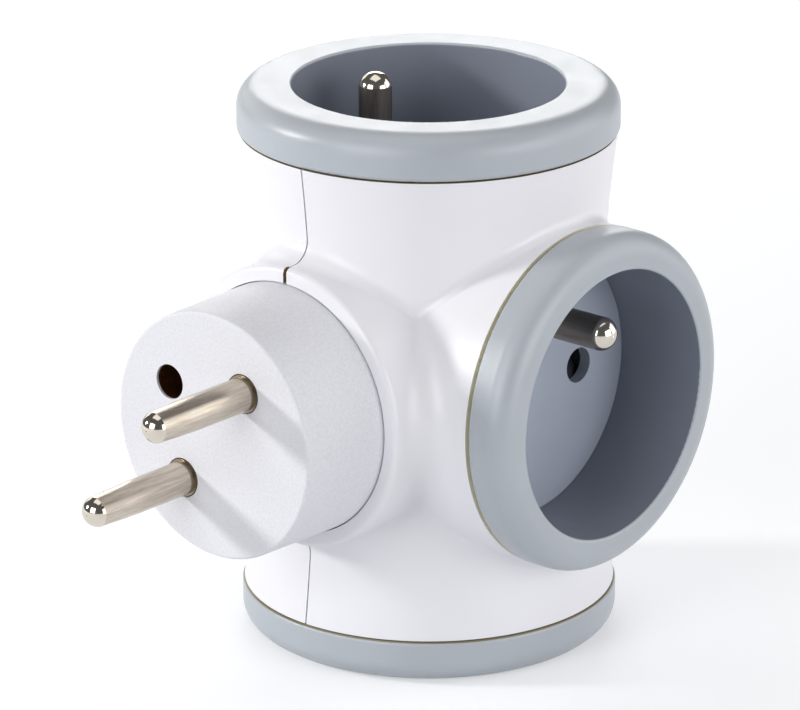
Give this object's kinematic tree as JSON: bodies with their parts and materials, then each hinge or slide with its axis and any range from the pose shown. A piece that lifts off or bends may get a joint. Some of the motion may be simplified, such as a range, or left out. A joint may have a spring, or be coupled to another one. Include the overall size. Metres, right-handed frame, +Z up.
{
  "type": "multi socket adapter",
  "caption": "Plug-in adapter with round mains sockets on top, underneath and at the side, each with an earth pin, and a round plug in front.",
  "frame": {"origin": "middle of the plug's flat face, between the two plug pins", "axes": "+Z up along the housing, -Y the way the plug pins point, +X towards the side socket"},
  "size_m": [0.0617, 0.0918, 0.081],
  "materials": {
    "housing": "gloss",
    "socket": "satin",
    "plug": "gloss",
    "shutter": "matt",
    "inner_plate": "matt",
    "pin": "nickel plated, polished",
    "contact": "bare brass",
    "spring": "bright wire"
  },
  "bodies": {
    "housing": {"housing_left": "housing", "housing_right": "housing", "plug_body": "plug", "plug_back_plate": "inner_plate", "live_pin": "pin", "neutral_pin": "pin", "plug_earth_sleeve": "contact", "live_busbar": "contact", "neutral_busbar": "contact", "earth_busbar": "contact", "clip_rivets": "contact", "top_socket": "socket", "top_earth_pin": "pin", "top_shutter_spring": "spring", "top_back_plate": "inner_plate", "live_top_clip": "contact", "neutral_top_clip": "contact", "bottom_socket": "socket", "bottom_earth_pin": "pin", "bottom_shutter_spring": "spring", "bottom_back_plate": "inner_plate", "live_bottom_clip": "contact", "neutral_bottom_clip": "contact", "side_socket": "socket", "side_earth_pin": "pin", "side_shutter_spring": "spring", "side_back_plate": "inner_plate", "live_side_clip": "contact", "neutral_side_clip": "contact"},
    "top_shutter": {"top_shutter": "shutter"},
    "bottom_shutter": {"bottom_shutter": "shutter"},
    "side_shutter": {"side_shutter": "shutter"}
  },
  "joints": [
    {"name": "top_shutter_slide", "type": "slide", "parent": "housing", "child": "top_shutter", "axis": [1, 0, 0], "range_m": [0, 0.0053], "stiffness_N_per_m": 150, "springref_m": -0.002, "deforming": ["top_shutter_spring"]},
    {"name": "bottom_shutter_slide", "type": "slide", "parent": "housing", "child": "bottom_shutter", "axis": [1, 0, 0], "range_m": [0, 0.0053], "stiffness_N_per_m": 150, "springref_m": -0.002, "deforming": ["bottom_shutter_spring"]},
    {"name": "side_shutter_slide", "type": "slide", "parent": "housing", "child": "side_shutter", "axis": [0, 0, -1], "range_m": [0, 0.0053], "stiffness_N_per_m": 150, "springref_m": -0.002, "deforming": ["side_shutter_spring"]}
  ]
}
